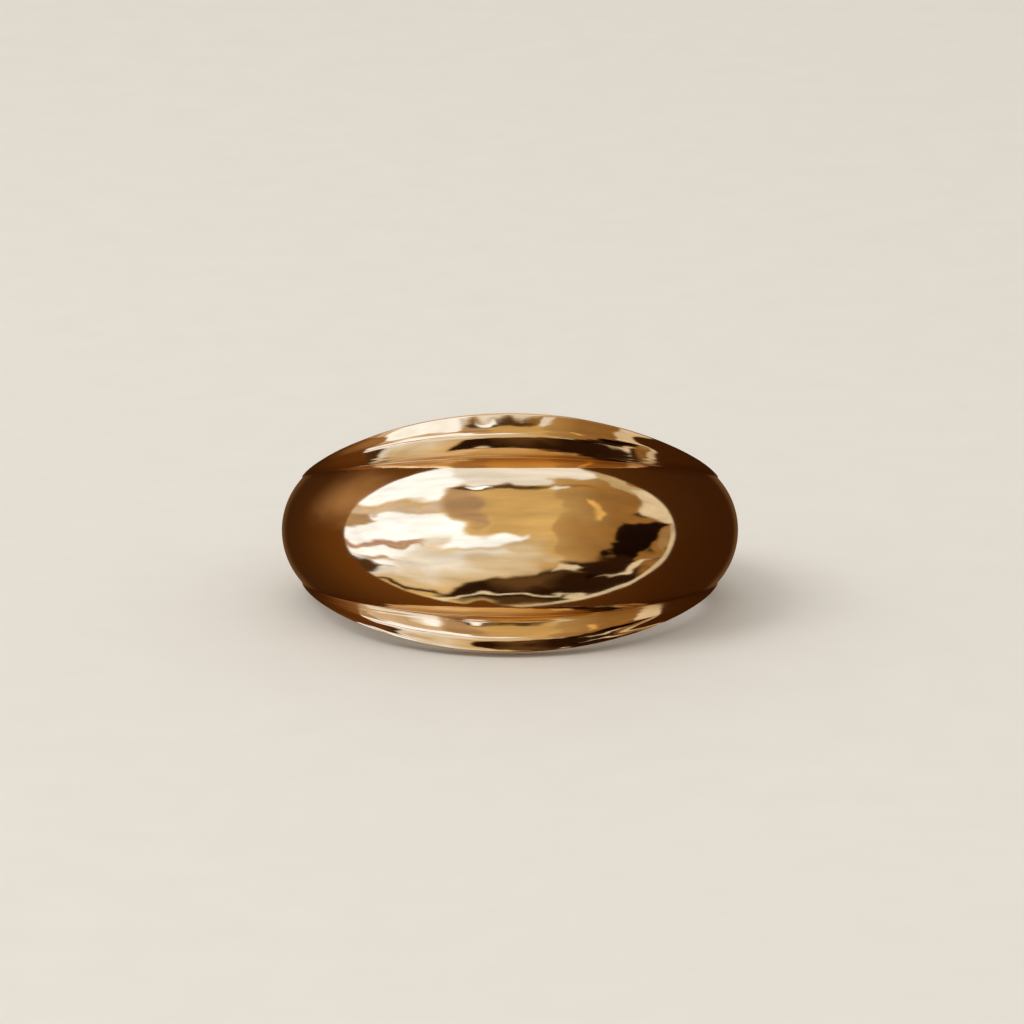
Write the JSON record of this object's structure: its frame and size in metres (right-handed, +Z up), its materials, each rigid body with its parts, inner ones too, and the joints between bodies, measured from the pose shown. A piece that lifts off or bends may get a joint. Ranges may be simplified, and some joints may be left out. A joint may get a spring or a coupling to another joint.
{
  "type": "dome ring",
  "caption": "Wide polished gold-tone finger ring with a round-topped dome across its crown, framed by creases and tapering crescent rails.",
  "frame": {"origin": "centre of the box's bottom face, on the floor that the ring lies on", "axes": "+Z up from the floor; the crown faces -Y; X runs across the finger, left and right of the crown; the finger hole's axis leans 12.8 degrees from +Z towards +Y, because the ring rests on its crown's lower rim and on the flat at its back"},
  "size_m": [0.0222, 0.0212, 0.0113],
  "materials": {
    "gold_plate": "mirror-polished warm yellow gold plate with fine wear marks and a slightly uneven hand-polished surface"
  },
  "bodies": {
    "root": {"ring": "gold_plate"}
  },
  "joints": []
}
